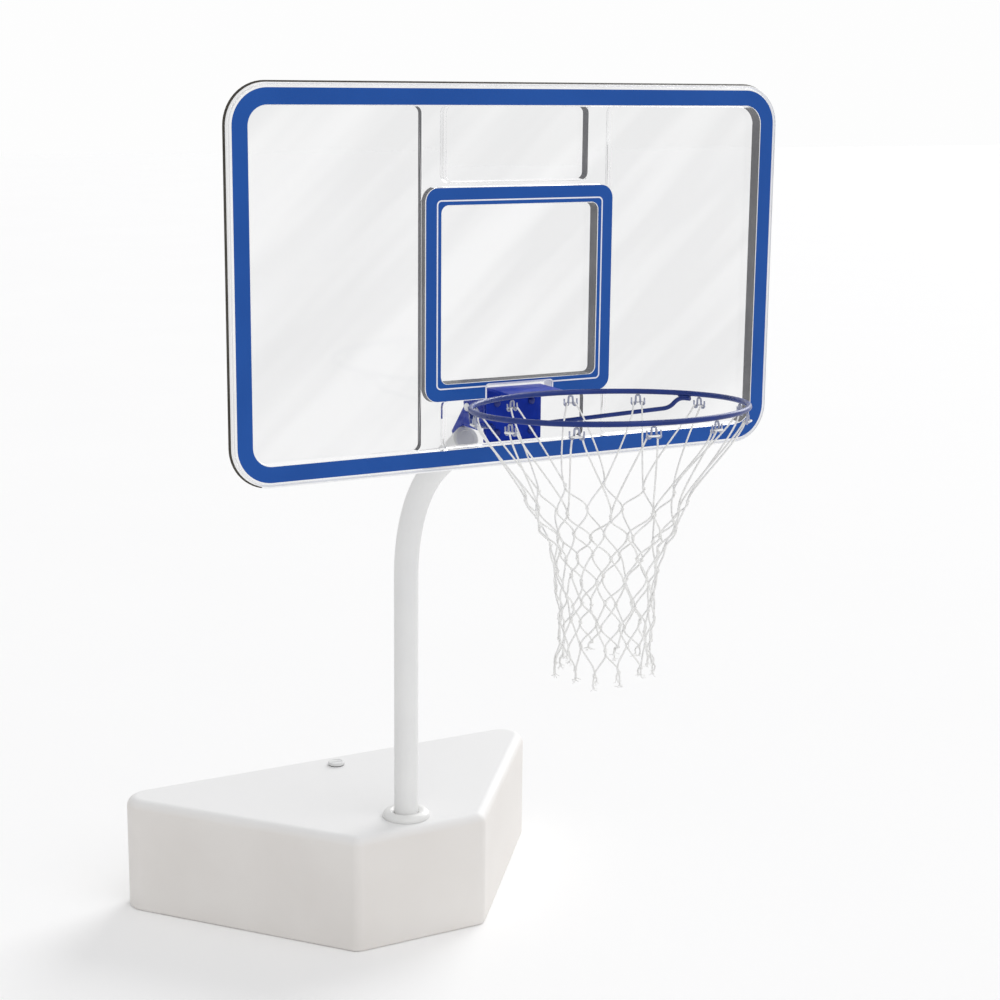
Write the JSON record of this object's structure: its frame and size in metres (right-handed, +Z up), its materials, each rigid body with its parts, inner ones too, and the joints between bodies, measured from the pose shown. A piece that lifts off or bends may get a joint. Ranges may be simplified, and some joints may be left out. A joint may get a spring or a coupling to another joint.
{
  "type": "poolside basketball hoop",
  "caption": "Free-standing basketball hoop for a pool edge: low weighted tank, bent pole, clear moulded backboard with blue border and target, small rim and white net.",
  "frame": {"origin": "on the floor, on the axis of the upright pole", "axes": "+Z up; -Y towards the water, the side that the board faces; +X to the right of a player in the water who faces the board, so the object is symmetric about X = 0, except its cross bolts"},
  "size_m": [1.118, 1.4225, 1.776],
  "materials": {
    "tank_white": "satin, lightly textured rotomoulded polyethylene",
    "water": "stands in for water, never seen",
    "light_grey_plastic": "satin moulded plastic",
    "cap_grey": "satin moulded plastic",
    "seal_rubber": "matt",
    "pole_paint": "light grey powder coat",
    "clear_sheet": "clear glossy moulded polycarbonate",
    "blue_print": "glossy blue film on the front of the clear sheet",
    "white_print": "glossy white film line",
    "blue_steel": "royal blue powder coat",
    "bright_steel": "zinc plated",
    "hook_wire": "galvanised wire",
    "net_twine": "white twisted twine"
  },
  "bodies": {
    "tank": {"base_tank": "tank_white", "water_ballast": "water", "pole_sleeve": "light_grey_plastic"},
    "collar": {"pole_collar": "tank_white"},
    "pole": {"pole": "pole_paint", "pole_foot_plug": "seal_rubber", "pole_end_cap": "light_grey_plastic", "pole_head_lug": "pole_paint", "board_carrier": "blue_steel", "head_bolt_1": "bright_steel", "head_bolt_2": "bright_steel", "head_nut_1": "bright_steel", "head_nut_2": "bright_steel", "backboard_sheet": "clear_sheet", "border_band": "blue_print", "target_frame": "blue_print", "target_pinstripe": "white_print", "rim_bracket": "blue_steel", "rim_bolt_1": "blue_steel", "rim_bolt_2": "blue_steel", "rim_bolt_3": "blue_steel", "rim_bolt_4": "blue_steel", "rim_nut_1": "bright_steel", "rim_nut_2": "bright_steel", "rim_nut_3": "bright_steel", "rim_nut_4": "bright_steel", "rim_ring": "blue_steel", "brace_left": "blue_steel", "brace_right": "blue_steel", "net_hook_01": "hook_wire", "net_hook_02": "hook_wire", "net_hook_03": "hook_wire", "net_hook_04": "hook_wire", "net_hook_05": "hook_wire", "net_hook_06": "hook_wire", "net_hook_07": "hook_wire", "net_hook_08": "hook_wire", "net_hook_09": "hook_wire", "net_hook_10": "hook_wire", "net_hook_11": "hook_wire", "net_hook_12": "hook_wire", "net": "net_twine"},
    "gasket": {"fill_cap_gasket": "seal_rubber"},
    "cap": {"fill_cap": "cap_grey"}
  },
  "joints": [
    {"name": "pole_swivel", "type": "hinge", "parent": "tank", "child": "collar", "pos_m": [0, 0, 0.25], "axis": [0, 0, 1], "continuous": true},
    {"name": "pole_lift", "type": "slide", "parent": "collar", "child": "pole", "axis": [0, 0, 1], "range_m": [0, 0.24]},
    {"name": "cap_rise", "type": "slide", "parent": "tank", "child": "gasket", "axis": [0, 0, 1], "range_m": [0, 0.009]},
    {"name": "cap_turn", "type": "hinge", "parent": "gasket", "child": "cap", "pos_m": [0, 0.356, 0.25], "axis": [0, 0, 1], "range_deg": [0, 1080]}
  ],
  "couplings": [
    {"joint": "cap_rise", "follows": "cap_turn", "m_per_rad": 0.0004774}
  ]
}
